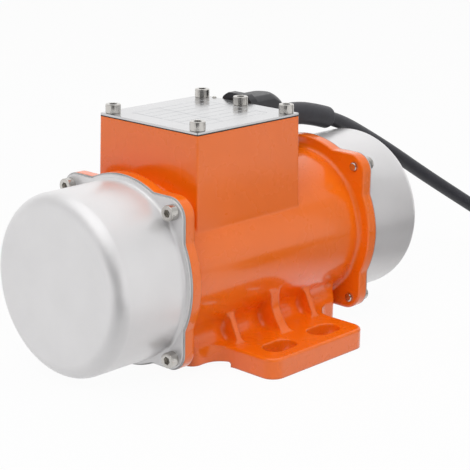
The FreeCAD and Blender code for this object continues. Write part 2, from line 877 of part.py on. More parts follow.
def lid_plate(bottom, top):
    """A plate with the outline of the terminal box and five screw holes."""
    outline = rounded_rectangle(box_half_length, box_half_width, box_corner_radius, bottom)
    plate = Part.Face(outline).extrude(Vector(0, 0, top - bottom))
    return plate.cut(joined([post(m5[0], x, y, bottom - 1, top + 1) for x, y in lid_holes()]))


def lid_gasket():
    """The frame of rubber under the lid."""
    half_x = box_half_length - 2 * lid_screw_inset
    half_y = box_half_width - 2 * lid_screw_inset
    window = block(box_centre_x - half_x, box_centre_x + half_x, -half_y, half_y, box_top - 1, lid_top)
    return lid_plate(box_top, lid_bottom).cut(window)


def lid_screws():
    """The five screws of the lid."""
    screw = socket_screw(m5, lid_screw_length)
    return group([placed(screw, x, y, lid_top, (0, 0, 1)) for x, y in lid_holes()])


def terminal_block():
    """A moulded block with walls between its terminals."""
    reach = block_length / 2
    side = block_width / 2
    base_top = block_bottom + block_base_height
    top = block_bottom + block_wall_height
    base = block(box_centre_x - reach, box_centre_x + reach, -side, side, block_bottom, base_top)
    walls = []
    for i in range(4):
        start = box_centre_x + (i - 1.5) * stud_pitch - block_wall / 2
        walls.append(block(start, start + block_wall, -side, side, base_top - 1, top))
    cuts = [post(m4[0], x, 0, block_bottom - 1, base_top + 1) for x in terminal_screw_places + stud_places]
    heads = [post(m4[1] + 0.2, x, 0, block_bottom + low_head_height, top + 1) for x in terminal_screw_places]
    return joined([base] + walls).cut(joined(cuts + heads))


def low_screw(length):
    """A screw with a low head."""
    return socket_screw((m4[0], m4[1], low_head_height, m4[3]), length)


def terminal_block_screws():
    """The two screws that hold the block."""
    screw = low_screw(block_screw_length)
    seat = block_bottom + low_head_height
    return group([placed(screw, x, 0, seat, (0, 0, 1)) for x in terminal_screw_places])


def terminal_studs():
    """Three studs with their nuts."""
    pieces = []
    bottom = block_bottom + 0.5
    for x in stud_places:
        nut = hexagon(stud_nut_flat, 0, stud_nut_height, 0, 0)
        nut.rotate(Vector(0, 0, 0), Vector(0, 1, 0), -90)
        nut.translate(Vector(x, 0, terminal_top))
        pieces.append(joined([post(m4[0], x, 0, bottom, bottom + stud_length), nut]))
    return group(pieces)


def earth_screw():
    """The earth screw in its post."""
    x, y = earth_place
    return placed(low_screw(block_screw_length - 1), x, y, block_bottom, (0, 0, 1))


def gland_washer():
    """The rubber washer between the box and the gland."""
    return ring(gland_body_radius - 1.5, gland_thread_radius, gland_face, gland_body_face, gland_y, gland_z)


def gland_body():
    """The threaded body with its hexagon."""
    head = hexagon(gland_flat, gland_body_face, gland_nut_face - 0.6, gland_y, gland_z)
    head = head.common(disc(gland_body_radius, gland_body_face, gland_nut_face, gland_y, gland_z))
    inside = box_end_x - box_wall - locknut_thickness - gland_tail_beyond
    tail = disc(gland_thread_radius, inside, gland_body_face + 1, gland_y, gland_z)
    collar_end = gland_nut_face + gland_collar_length
    collar = disc(gland_collar_radius, gland_nut_face - 1, collar_end, gland_y, gland_z)
    bore = disc(gland_bore_radius, inside - 1, gland_mouth, gland_y, gland_z)
    return joined([head, tail, collar]).cut(bore)


def gland_locknut():
    """The nut inside the box."""
    end = box_end_x - box_wall
    nut = hexagon(locknut_flat, end - locknut_thickness, end, gland_y, gland_z)
    return nut.cut(disc(gland_thread_radius, end - locknut_thickness - 1, end + 1, gland_y, gland_z))


def gland_seal():
    """The rubber insert that grips the cable."""
    end = gland_nut_face + gland_collar_length - 1
    return ring(gland_bore_radius, cable_radius, gland_body_face, end, gland_y, gland_z)


def dome(radius, start, end, mouth_radius):
    """A round bar that closes in towards its mouth."""
    swell = start + 0.55 * (end - start)
    middle_x = swell + 0.62 * (end - swell)
    middle_radius = mouth_radius + 0.72 * (radius - mouth_radius)
    profile = face_of([
        line((start, 0, 0), (start, 0, radius)),
        line((start, 0, radius), (swell, 0, radius)),
        arc((swell, 0, radius), (middle_x, 0, middle_radius), (end, 0, mouth_radius)),
        line((end, 0, mouth_radius), (end, 0, 0)),
        line((end, 0, 0), (start, 0, 0)),
    ])
    solid = profile.revolve(Vector(0, 0, 0), shaft_x, 360)
    solid.translate(Vector(0, gland_y, gland_z))
    return solid


def gland_nut():
    """The domed nut that squeezes the seal."""
    outside = dome(gland_nut_radius, gland_nut_face, gland_mouth, gland_nut_mouth_radius)
    outside = outside.common(hexagon(gland_nut_flat, gland_nut_face, gland_mouth, gland_y, gland_z))
    room_end = gland_nut_face + gland_collar_length + 1
    inside = [
        disc(gland_collar_radius, gland_nut_face - 1, room_end, gland_y, gland_z),
        disc(sleeve_radius, gland_nut_face, gland_mouth + 1, gland_y, gland_z),
    ]
    return outside.cut(joined(inside))


def unit(vector):
    """A vector of length one."""
    return Vector(vector).normalize()


def corner_radii(points):
    """The bend radius at each inner point of a route."""
    radii = []
    for before, at, after in zip(points, points[1:], points[2:]):
        a = Vector(*at) - Vector(*before)
        b = Vector(*after) - Vector(*at)
        shorter = min(a.Length, b.Length)
        radii.append(0.45 * shorter / math.tan(a.getAngle(b) / 2))
    return radii


def bend(before, at, after, radius):
    """The start, middle and end of a round corner."""
    back = unit(Vector(*before) - Vector(*at))
    ahead = unit(Vector(*after) - Vector(*at))
    half = back.getAngle(ahead) / 2
    start = Vector(*at) + back * (radius / math.tan(half))
    end = Vector(*at) + ahead * (radius / math.tan(half))
    middle = Vector(*at) + unit(back + ahead) * (radius / math.sin(half) - radius)
    return start, middle, end


def path(points, radii):
    """Straight runs joined by tangent arcs."""
    edges = []
    here = Vector(*points[0])
    for before, at, after, radius in zip(points, points[1:], points[2:], radii):
        start, middle, end = bend(before, at, after, radius)
        edges.append(Part.makeLine(here, start))
        edges.append(Part.Arc(start, middle, end).toShape())
        here = end
    edges.append(Part.makeLine(here, Vector(*points[-1])))
    return Part.Wire(edges)


def tube(points, radii, radius):
    """A round bar along a path."""
    wire = path(points, radii)
    start = Vector(*points[0])
    section = Part.Wire(Part.makeCircle(radius, start, Vector(*points[1]) - start))
    return wire.makePipeShell([section], True, False)


def cable_points():
    """The free cable's route. It starts at the gland's mouth and keeps its height over the cover."""
    lift = gland_z - cable_route[0][2]
    end_x = cable_route[-1][0]
    points = [(gland_mouth, gland_y, gland_z)]
    for x, y, z in cable_route[1:]:
        share = min(1.0, (end_x - x) / (end_x - cover_end))
        points.append((x, y, z + lift * share))
    return points


def cable_tail():
    """The straight end of the cable, through the gland into the box."""
    return disc(cable_radius, gland_tail_end, gland_mouth, gland_y, gland_z)


def cable_sleeve():
    """The thick rubber sleeve on the cable's first stretch."""
    points = cable_points()
    radii = corner_radii(points)
    last = Vector(*points[2]) + (Vector(*points[3]) - Vector(*points[2])) * sleeve_share
    start = (gland_mouth - sleeve_overlap, gland_y, gland_z)
    route = [start, points[1], points[2], (last.x, last.y, last.z)]
    outside = tube(route, radii, sleeve_radius)
    rim = [e for e in outside.Edges if (e.CenterOfMass - last).Length < 0.5]
    outside = outside.makeFillet(sleeve_end_radius, rim)
    return outside.cut(tube(route, radii, cable_radius))


def cable():
    """The free cable from the gland to the coil."""
    points = cable_points()
    return tube(points, corner_radii(points), cable_radius)


def plug_cable():
    """The short end of the cable from the coil to the plug."""
    return tube(plug_route, corner_radii(plug_route), cable_radius)


def coil_ring(half_width, bottom, top):
    """A ring around the coil's centre with round edges."""
    x, y = coil_centre
    outer = post(coil_radius + half_width, x, y, bottom, top)
    solid = outer.cut(post(coil_radius - half_width, x, y, bottom - 1, top + 1))
    return solid.makeFillet(cable_radius, [e for e in solid.Edges if e.BoundBox.ZLength < 0.01])


def coil_tie():
    """The strap around the coil."""
    half = 2 * cable_radius
    top = tie_thickness + 2 * half
    outside = coil_ring(half + tie_thickness, 0, top + tie_thickness)
    hollow = coil_ring(half, tie_thickness, top)
    x, y = coil_centre
    window = block(x, x + 2 * coil_radius, y - tie_width / 2, y + tie_width / 2, -1, 2 * top)
    window.rotate(Vector(x, y, 0), Vector(0, 0, 1), coil_tie_angle)
    return outside.cut(hollow).common(window)


def cable_coil():
    """The wound part of the cable, as one ring."""
    half = 2 * cable_radius
    solid = coil_ring(half, tie_thickness, tie_thickness + 2 * half)
    return solid.cut(joined([cable(), plug_cable()]))


def plug_axis_disc(radius, start, end, y=0.0):
    """A cylinder on the plug's axis, measured away from the cable's end."""
    x, y_end, z = plug_route[-1]
    return Part.makeCylinder(radius, end - start, Vector(x - start, y_end + y, z), -shaft_x)


def plug_body():
    """The moulded plug."""
    face = plug_neck_length + plug_length
    body = plug_axis_disc(plug_radius, plug_neck_length, face)
    body = body.makeFillet(plug_edge_radius, [e for e in body.Edges if e.BoundBox.XLength < 0.01])
    holes = [plug_axis_disc(pin_radius, face - pin_root, face + 1, y) for y in pin_places()]
    return body.cut(joined(holes))


def plug_neck():
    """The tapered sleeve behind the plug."""
    start_radius = cable_radius + plug_neck_wall
    return Part.makeCone(start_radius, plug_neck_radius, plug_neck_length, Vector(*plug_route[-1]), -shaft_x)


def pin_places():
    """The pins' places across the plug."""
    return [-pin_spacing / 2, pin_spacing / 2]


def plug_pins():
    """Two round pins."""
    face = plug_neck_length + plug_length
    return group([plug_axis_disc(pin_radius, face - pin_root, face + pin_length, y) for y in pin_places()])


def lead(points):
    """An insulated wire inside the motor."""
    return tube(points, [lead_bend_radius] * (len(points) - 2), lead_radius)


def motor_leads():
    """Three wires from the windings up to the terminals."""
    pieces = []
    start_z = shaft_height + bore_radius - stator_yoke + bundle_swell
    for i, x in enumerate(stud_places):
        y = (i - 1) * lead_bend_radius
        height = lead_height + 4.0 - i * lead_bend_radius
        beside = block_width / 2 + 5.0 + i * lead_bend_radius
        route = [
            (lead_hole_x, y, start_z), (lead_hole_x, y, height),
            (lead_hole_x + 3 * lead_bend_radius, beside + y - 4.0, height), (x, beside, height),
            (x, block_width / 2 - 1.0, lead_height), (x, lead_end, lead_height),
        ]
        pieces.append(lead(route))
    return group(pieces)


def supply_leads():
    """Three wires from the cable to the terminals and one to the earth screw."""
    pieces = []
    bend_x = gland_tail_end - 3.5
    for i, x in enumerate(stud_places):
        height = gland_z + 2.4 * (1 - i)
        beside = -block_width / 2 - 4 - 2.5 * i
        y = gland_y - 1.2
        route = [
            (gland_tail_end, y, height), (bend_x, y, height), (bend_x, beside, height),
            (x, beside, lead_height), (x, -lead_end, lead_height),
        ]
        pieces.append(lead(route))
    x, y = earth_place
    end_z = block_bottom + m4[1]
    start_y = gland_y + 1.6
    start_z = gland_z - 2.4
    route = [
        (gland_tail_end, start_y, start_z), (bend_x, start_y, start_z), (bend_x, start_y, end_z),
        (x, y + m4[1], end_z),
    ]
    pieces.append(lead(route))
    return group(pieces)


def both_ends(name, shape):
    """Writes a piece for the +X end and its twin for the -X end."""
    save(name + "_right", shape)
    save(name + "_left", mirrored(shape))


def report_cable():
    """Prints the cable's bend radii and how many turns its coil holds."""
    free = path(cable_points(), corner_radii(cable_points()))
    end = path(plug_route, corner_radii(plug_route))
    turns = (cable_length - free.Length - end.Length) / (2 * math.pi * coil_radius)
    print("cable bend radii:", [round(r) for r in corner_radii(cable_points())])
    print("plug cable bend radii:", [round(r) for r in corner_radii(plug_route)])
    print("cable volume over its length:", round(cable().Volume / free.Length / cable_radius ** 2 / math.pi, 4))
    print("free length:", round(free.Length), "plug end:", round(end.Length), "turns:", round(turns, 2))


def build():
    """Writes every sub-part."""
    os.makedirs("parts", exist_ok=True)
    save("motor_body", motor_body())
    both_ends("cover_gasket", cover_gasket())
    both_ends("end_cover", end_cover())
    both_ends("cover_screws", cover_screws())
    both_ends("bearing_shield", bearing_shield())
    both_ends("shield_screws", shield_screws())
    both_ends("shaft_seal", shaft_seal())
    both_ends("bearing_outer_ring", bearing_outer_ring())
    both_ends("bearing_inner_ring", bearing_inner_ring())
    both_ends("bearing_balls", bearing_balls())
    both_ends("ball_cage", ball_cage())
    both_ends("rotor_end_ring", rotor_end_ring())
    both_ends("fixed_weight", fixed_weight())
    both_ends("weight_key", weight_key())
    both_ends("adjustable_weight", adjustable_weight())
    both_ends("clamp_screw", clamp_screw())
    both_ends("shaft_nut", shaft_nut())
    save("rotor_shaft", rotor_shaft())
    save("rotor_core", rotor_core())
    save("stator_core", stator_core())
    save("stator_windings", stator_windings())
    save("lid_gasket", lid_gasket())
    save("terminal_lid", lid_plate(lid_bottom, lid_top))
    save("lid_screws", lid_screws())
    save("terminal_block", terminal_block())
    save("terminal_block_screws", terminal_block_screws())
    save("terminal_studs", terminal_studs())
    save("earth_screw", earth_screw())
    save("motor_leads", motor_leads())
    save("supply_leads", supply_leads())
    save("gland_washer", gland_washer())
    save("gland_body", gland_body())
    save("gland_locknut", gland_locknut())
    save("gland_seal", gland_seal())
    save("gland_nut", gland_nut())
    save("cable_tail", cable_tail())
    save("cable_sleeve", cable_sleeve())
    save("cable", cable())
    save("plug_cable", plug_cable())
    save("cable_coil", cable_coil())
    save("coil_tie", coil_tie())
    save("plug_neck", plug_neck())
    save("plug_body", plug_body())
    save("plug_pins", plug_pins())
    report_cable()


build()
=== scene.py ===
"""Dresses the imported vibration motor, from its casting to the plug, and puts it in a small studio."""
import math

import bmesh
import bpy
from bpy.props import FloatProperty, FloatVectorProperty, IntProperty, PointerProperty
from mathutils import Matrix, Vector


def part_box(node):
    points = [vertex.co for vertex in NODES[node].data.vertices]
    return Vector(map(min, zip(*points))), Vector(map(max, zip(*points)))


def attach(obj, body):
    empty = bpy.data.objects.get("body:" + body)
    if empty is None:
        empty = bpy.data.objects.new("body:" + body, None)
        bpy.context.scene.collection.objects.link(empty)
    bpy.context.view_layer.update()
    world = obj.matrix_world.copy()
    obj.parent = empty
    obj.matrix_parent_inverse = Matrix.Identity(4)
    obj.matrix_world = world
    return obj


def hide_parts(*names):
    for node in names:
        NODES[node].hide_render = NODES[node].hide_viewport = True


bl_info = {
    "name": "Vibration motor",
    "version": (1, 0, 0),
    "blender": (4, 5, 0),
    "location": "View3D > Sidebar > Motor",
    "description": "Builds the visible pieces of a foot-mounted vibration motor over its packed frame",
    "category": "Add Mesh",
}

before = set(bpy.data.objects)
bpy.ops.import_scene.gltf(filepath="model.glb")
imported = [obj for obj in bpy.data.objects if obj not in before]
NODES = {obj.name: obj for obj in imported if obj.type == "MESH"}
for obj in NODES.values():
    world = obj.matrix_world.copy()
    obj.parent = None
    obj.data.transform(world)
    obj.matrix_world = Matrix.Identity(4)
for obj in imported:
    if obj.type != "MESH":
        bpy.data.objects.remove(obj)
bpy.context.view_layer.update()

MM = 0.001
SIDES = {"left": -1, "right": 1}

# Where the lid's inner column line stands, as a share of the ruled width
COLUMN_SHARE = 0.36


def middle_of(node):
    """The middle of a node's box."""
    low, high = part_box(node)
    return (low + high) / 2


SHAFT_HEIGHT = middle_of("rotor_core").z


# Settings that a user can change

class MotorSizes(bpy.types.PropertyGroup):
    """Sizes of the dressed pieces."""

    knurl_count: IntProperty(
        name="Knurl count", description="How many grooves a screw head has", default=32)
    knurl_depth: FloatProperty(
        name="Knurl depth", description="How deep the grooves around a screw head are",
        default=0.0001, unit="LENGTH")
    socket_depth: FloatProperty(
        name="Socket depth", description="How deep the hexagon in a screw head is",
        default=0.0025, unit="LENGTH")
    middle_screw: FloatVectorProperty(
        name="Middle screw", description="Where the lid's fifth screw is, along X and Y", size=2,
        default=(0.0155, 0.0009), unit="LENGTH")
    lid_corner: FloatProperty(
        name="Lid corner", description="Radius of the lid's corners", default=0.0012, unit="LENGTH")
    plate_margin: FloatProperty(
        name="Plate margin", description="Bare edge around the lid's ruled lines",
        default=0.013, unit="LENGTH")
    line_rows: IntProperty(
        name="Ruled rows", description="Empty rows on the lid", default=7)
    line_width: FloatProperty(
        name="Line width", description="Width of a printed line", default=0.0004, unit="LENGTH")
    line_height: FloatProperty(
        name="Line height", description="How far the print stands on the lid", default=0.00003, unit="LENGTH")
    rivet_place: FloatVectorProperty(
        name="Rivet place", description="Where the small rivet of the lid is, along X and Y", size=2,
        default=(0.0205, 0.0265), unit="LENGTH")
    rivet_radius: FloatProperty(
        name="Rivet radius", description="Radius of the rivet's head", default=0.0013, unit="LENGTH")
    cable_radius: FloatProperty(
        name="Cable radius", description="Radius of the cable's jacket", default=0.0045, unit="LENGTH")


class MotorColours(bpy.types.PropertyGroup):
    """Colours of the finishes."""

    paint: FloatVectorProperty(
        name="Paint", description="Orange paint of the casting", subtype="COLOR", size=3,
        default=(0.875, 0.158, 0.003))
    cover: FloatVectorProperty(
        name="Cover", description="Metal of the end covers", subtype="COLOR", size=3,
        default=(0.76, 0.75, 0.755))
    plate: FloatVectorProperty(
        name="Plate", description="Metal of the terminal lid", subtype="COLOR", size=3,
        default=(0.62, 0.62, 0.63))
    screw: FloatVectorProperty(
        name="Screw", description="Plated steel of the screws", subtype="COLOR", size=3,
        default=(0.60, 0.58, 0.55))
    rubber: FloatVectorProperty(
        name="Rubber", description="Jacket of the cable", subtype="COLOR", size=3,
        default=(0.030, 0.030, 0.036))
    plastic: FloatVectorProperty(
        name="Plastic", description="Moulded gland and plug", subtype="COLOR", size=3,
        default=(0.022, 0.022, 0.025))


class MotorCamera(bpy.types.PropertyGroup):
    """Where the photograph was taken from."""

    azimuth: FloatProperty(
        name="Azimuth", description="Angle round the motor", default=math.radians(-46.90),
        subtype="ANGLE")
    elevation: FloatProperty(
        name="Elevation", description="Angle above the horizon", default=math.radians(15.90),
        subtype="ANGLE")
    roll: FloatProperty(
        name="Roll", description="Turn about the line of sight", default=math.radians(0.80),
        subtype="ANGLE")
    distance: FloatProperty(
        name="Distance", description="From the target", default=0.84423, unit="LENGTH")
    target: FloatVectorProperty(
        name="Target", description="Point that the camera looks at", subtype="TRANSLATION", size=3,
        default=(0.00824, 0.0, 0.05654))
    focal_length: FloatProperty(
        name="Focal length", description="Millimetres on a 36 mm sensor", default=110.7)
    shift_x: FloatProperty(
        name="Shift", description="Sideways shift of the picture", default=0.0082)


def sizes():
    """The scene's sizes."""
    return bpy.context.scene.motor_sizes


def colours():
    """The scene's colours."""
    return bpy.context.scene.motor_colours


# Node materials

# A colour mix node's sockets, by their place
MIX_FACTOR, MIX_FIRST, MIX_SECOND, MIX_RESULT = 0, 6, 7, 2

# Where noise mostly lies
NOISE_LOW, NOISE_HIGH = 0.25, 0.75


class Shader:
    """A material's node tree, built from the surface backwards."""

    def __init__(self, name):
        self.material = bpy.data.materials.new(name)
        self.material.use_nodes = True
        self.tree = self.material.node_tree
        self.surface = self.tree.nodes["Principled BSDF"]

    def add(self, kind, **values):
        """A node with its properties and input values."""
        node = self.tree.nodes.new(kind)
        for key, value in values.items():
            if hasattr(node, key):
                setattr(node, key, value)
            else:
                node.inputs[key.replace("_", " ")].default_value = value
        return node

    def link(self, source, target):
        """Joins an output to an input."""
        self.tree.links.new(source, target)

    def set(self, **values):
        """Values on the surface's own sockets."""
        for key, value in values.items():
            self.surface.inputs[key.replace("_", " ")].default_value = value

    def coordinates(self, stretch=(1.0, 1.0, 1.0)):
        """Object coordinates, stretched."""
        place = self.add("ShaderNodeTexCoord")
        mapping = self.add("ShaderNodeMapping")
        mapping.inputs["Scale"].default_value = stretch
        self.link(place.outputs["Object"], mapping.inputs["Vector"])
        return mapping.outputs["Vector"]

    def noise(self, scale, detail=3.0, rough=0.5, stretch=(1.0, 1.0, 1.0)):
        """Noise on the object's coordinates."""
        node = self.add("ShaderNodeTexNoise")
        node.inputs["Scale"].default_value = scale
        node.inputs["Detail"].default_value = detail
        node.inputs["Roughness"].default_value = rough
        self.link(self.coordinates(stretch), node.inputs["Vector"])
        return node.outputs["Fac"]

    def ranged(self, value, low, high):
        """Noise, turned into a value from low to high."""
        node = self.add("ShaderNodeMapRange")
        node.inputs["From Min"].default_value = NOISE_LOW
        node.inputs["From Max"].default_value = NOISE_HIGH
        node.inputs["To Min"].default_value = low
        node.inputs["To Max"].default_value = high
        self.link(value, node.inputs["Value"])
        return node.outputs["Result"]

    def tinted(self, value, dark, light):
        """A colour between two, by a value."""
        node = self.add("ShaderNodeMix", data_type="RGBA")
        node.inputs[MIX_FIRST].default_value = (*dark, 1)
        node.inputs[MIX_SECOND].default_value = (*light, 1)
        self.link(value, node.inputs[MIX_FACTOR])
        return node.outputs[MIX_RESULT]

    def bump(self, value, strength, distance, rounding=0.0):
        """Relief on the surface, and edges that shade as if rounded."""
        node = self.add("ShaderNodeBump")
        node.inputs["Strength"].default_value = strength
        node.inputs["Distance"].default_value = distance
        self.link(value, node.inputs["Height"])
        self.link(node.outputs["Normal"], self.surface.inputs["Normal"])
        if rounding:
            edge = self.add("ShaderNodeBevel", samples=6, Radius=rounding)
            self.link(edge.outputs["Normal"], node.inputs["Normal"])
        return node

    def colour(self, value):
        """The surface's colour."""
        self.link(value, self.surface.inputs["Base Color"])

    def roughness(self, value):
        """The surface's roughness."""
        self.link(value, self.surface.inputs["Roughness"])


def shade(colour, factor):
    """A colour made darker or lighter."""
    return tuple(min(1.0, channel * factor) for channel in colour)


def paint_material():
    """Glossy orange paint over a casting."""
    s = Shader("orange_paint")
    paint = colours().paint
    s.colour(s.tinted(s.ranged(s.noise(18.0), 0.0, 1.0), shade(paint, 0.95), shade(paint, 1.04)))
    s.roughness(s.ranged(s.noise(60.0), 0.24, 0.32))
    s.set(Coat_Weight=0.65, Coat_Roughness=0.08, Specular_IOR_Level=0.4)
    normal = s.bump(s.noise(40.0, detail=0.0), 0.01, 0.0004, rounding=0.0017)
    s.link(normal.outputs["Normal"], s.surface.inputs["Coat Normal"])
    return s.material


def cover_material():
    """Satin metal of the drawn covers."""
    s = Shader("cover_metal")
    metal = colours().cover
    s.colour(s.tinted(s.ranged(s.noise(40.0), 0.0, 1.0), shade(metal, 0.97), shade(metal, 1.03)))
    s.roughness(s.ranged(s.noise(900.0), 0.30, 0.35))
    s.set(Metallic=0.52, Specular_IOR_Level=0.5)
    s.bump(s.noise(2600.0, detail=2.0), 0.03, 0.0002, rounding=0.0005)
    return s.material


def plate_material():
    """Bright sheet of the terminal lid."""
    s = Shader("lid_plate")
    metal = colours().plate
    s.colour(s.tinted(s.ranged(s.noise(30.0), 0.0, 1.0), shade(metal, 0.97), shade(metal, 1.02)))
    s.roughness(s.ranged(s.noise(700.0, stretch=(0.04, 1.0, 1.0)), 0.14, 0.22))
    s.set(Metallic=0.9)
    return s.material


def screw_material():
    """Plated steel of the screws."""
    s = Shader("screw_steel")
    metal = colours().screw
    s.colour(s.tinted(s.ranged(s.noise(150.0), 0.0, 1.0), shade(metal, 0.95), shade(metal, 1.03)))
    s.roughness(s.ranged(s.noise(250.0), 0.16, 0.22))
    s.set(Metallic=1.0)
    return s.material


def metal_material(name, colour, rough):
    """A plain machined metal with a fine grain."""
    s = Shader(name)
    s.colour(s.tinted(s.ranged(s.noise(75.0), 0.0, 1.0), shade(colour, 0.88), shade(colour, 1.06)))
    s.roughness(s.ranged(s.noise(600.0), rough, rough + 0.12))
    s.set(Metallic=1.0)
    s.bump(s.noise(1200.0, detail=2.0), 0.05, 0.0002)
    return s.material


def moulded_material(name, colour, rough, relief=0.06):
    """Moulded plastic or rubber with a fine grain."""
    s = Shader(name)
    s.colour(s.tinted(s.ranged(s.noise(90.0), 0.0, 1.0), shade(colour, 0.85), shade(colour, 1.2)))
    s.roughness(s.ranged(s.noise(700.0), rough, rough + 0.12))
    s.set(Specular_IOR_Level=0.45)
    s.bump(s.noise(1500.0, detail=3.0), relief, 0.0003)
    return s.material


def banded_material(name, dark, light, scale, distortion, metallic, rough, relief, depth):
    """Fine bands across the shaft, as of wound wire or stacked sheets."""
    s = Shader(name)
    wave = s.add("ShaderNodeTexWave", wave_type="BANDS", bands_direction="X")
    wave.inputs["Scale"].default_value = scale
    wave.inputs["Distortion"].default_value = distortion
    s.link(s.coordinates(), wave.inputs["Vector"])
    s.colour(s.tinted(wave.outputs["Fac"], dark, light))
    s.set(Metallic=metallic, Roughness=rough)
    s.bump(wave.outputs["Fac"], relief, depth)
    return s.material


def winding_material():
    """Varnished copper wire, wound around the shaft."""
    return banded_material(
        "copper_winding", (0.22, 0.06, 0.02), (0.62, 0.22, 0.07), scale=320.0, distortion=2.0,
        metallic=0.6, rough=0.35, relief=0.4, depth=0.0005)


def sheet_stack_material():
    """The edges of stacked steel sheets."""
    return banded_material(
        "sheet_stack", (0.10, 0.10, 0.11), (0.34, 0.34, 0.35), scale=640.0, distortion=0.0,
        metallic=1.0, rough=0.45, relief=0.25, depth=0.0002)


MATERIALS = {}


def material(name):
    """A finish by name, made once."""
    makers = {
        "paint": paint_material,
        "cover": cover_material,
        "plate": plate_material,
        "screw": screw_material,
        "winding": winding_material,
        "sheets": sheet_stack_material,
        "rubber": lambda: moulded_material("cable_rubber", colours().rubber, 0.42),
        "plastic": lambda: moulded_material("gland_plastic", colours().plastic, 0.34),
        "print": lambda: moulded_material("plate_print", (0.55, 0.56, 0.58), 0.4, 0.01),
        "fibre": lambda: moulded_material("grey_fibre", (0.45, 0.45, 0.45), 0.6),
        "gasket": lambda: moulded_material("black_gasket", (0.012, 0.012, 0.012), 0.6),
        "lead": lambda: moulded_material("lead_jacket", (0.30, 0.05, 0.02), 0.4, 0.02),
        "cast": lambda: metal_material("cast_shield", (0.52, 0.52, 0.52), 0.42),
        "ground": lambda: metal_material("ground_steel", (0.60, 0.60, 0.60), 0.22),
        "weight": lambda: metal_material("weight_steel", (0.30, 0.30, 0.31), 0.45),
        "brass": lambda: metal_material("brass", (0.70, 0.50, 0.22), 0.28),
        "pin": lambda: metal_material("plug_pin", (0.74, 0.68, 0.55), 0.22),
    }
    if name not in MATERIALS:
        MATERIALS[name] = makers[name]()
    return MATERIALS[name]


def dress(piece, name):
    """Gives a piece one finish."""
    piece.data.materials.clear()
    piece.data.materials.append(material(name))


# Making pieces

def add_piece(name, build, finish, body, replaced=()):
    """A mesh piece from a bmesh, in its place on its body."""
    mesh = bpy.data.meshes.new(name)
    build.to_mesh(mesh)
    build.free()
    piece = bpy.data.objects.new(name, mesh)
    bpy.context.scene.collection.objects.link(piece)
    dress(piece, finish)
    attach(piece, body)
    if replaced:
        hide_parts(*replaced)
    return piece


def smooth_by_angle(build, degrees):
    """Smooth faces, with sharp edges where the surface turns by more than an angle."""
    limit = math.radians(degrees)
    for face in build.faces:
        face.smooth = True
    for edge in build.edges:
        edge.smooth = len(edge.link_faces) == 2 and edge.calc_face_angle(0.0) < limit


# Points nearer than this are one, and edges shorter than this are none
SAME_POINT = 2e-6
NO_EDGE = 1e-6


def merged_copy(node):
    """A CAD node's mesh, merged into one skin."""
    build = bmesh.new()
    build.from_mesh(NODES[node].data)
    bmesh.ops.remove_doubles(build, verts=build.verts, dist=SAME_POINT)
    bmesh.ops.dissolve_degenerate(build, edges=build.edges, dist=NO_EDGE)
    return build


def keep_node(node, finish):
    """A CAD node that stays, with a better finish."""
    dress(NODES[node], finish)


def finished(piece):
    """Weighted normals, so that flat faces stay flat beside round edges."""
    modifier = piece.modifiers.new("normals", "WEIGHTED_NORMAL")
    modifier.keep_sharp = True
    modifier.weight = 80


class MOTOR_OT_casting(bpy.types.Operator):
    """The orange cast body"""

    bl_idname = "motor.casting"
    bl_label = "Casting"

    def execute(self, context):
        build = merged_copy("motor_body")
        smooth_by_angle(build, 30)
        finished(add_piece("casting", build, "paint", "housing", ["motor_body"]))
        return {"FINISHED"}


class MOTOR_OT_covers(bpy.types.Operator):
    """The two end covers and their gaskets"""

    bl_idname = "motor.covers"
    bl_label = "End covers"

    def execute(self, context):
        for side in SIDES:
            node = "end_cover_" + side
            build = merged_copy(node)
            smooth_by_angle(build, 30)
            finished(add_piece("cover_" + side, build, "cover", "housing", [node]))
            keep_node("cover_gasket_" + side, "fibre")
        return {"FINISHED"}


# An M5 socket head screw: the radii of its shank and head, the head's height and the socket's width
SHANK_RADIUS = 0.0025
HEAD_RADIUS = 0.00425
HEAD_HEIGHT = 0.005
SOCKET_WIDTH = 0.004

# How far the first screw of a set is turned, and how much more each one after it, in degrees
FIRST_SPIN = 17
SPIN_STEP = 23


def raised(build, face, rise, radius=None):
    """Extrudes the upper end of a turned piece, made wider or narrower on the way."""
    # A piece's first face stays as its lower end
    inner = [face] if len(build.faces) > 1 else []
    made = bmesh.ops.extrude_face_region(build, geom=[face])["geom"]
    bmesh.ops.delete(build, geom=inner, context="FACES_ONLY")
    verts = [item for item in made if isinstance(item, bmesh.types.BMVert)]
    end = next(item for item in made if isinstance(item, bmesh.types.BMFace))
    bmesh.ops.translate(build, verts=verts, vec=(0, 0, rise))
    if radius is not None:
        for vert in verts:
            vert.co.xy = vert.co.xy.normalized() * radius
    return end


def squeeze_to_hexagon(face, width):
    """Moves a round face's corners onto a hexagon."""
    for vert in face.verts:
        turn = math.atan2(vert.co.y, vert.co.x) % (math.pi / 3) - math.pi / 6
        vert.co.xy = vert.co.xy.normalized() * (width / 2 / math.cos(turn))


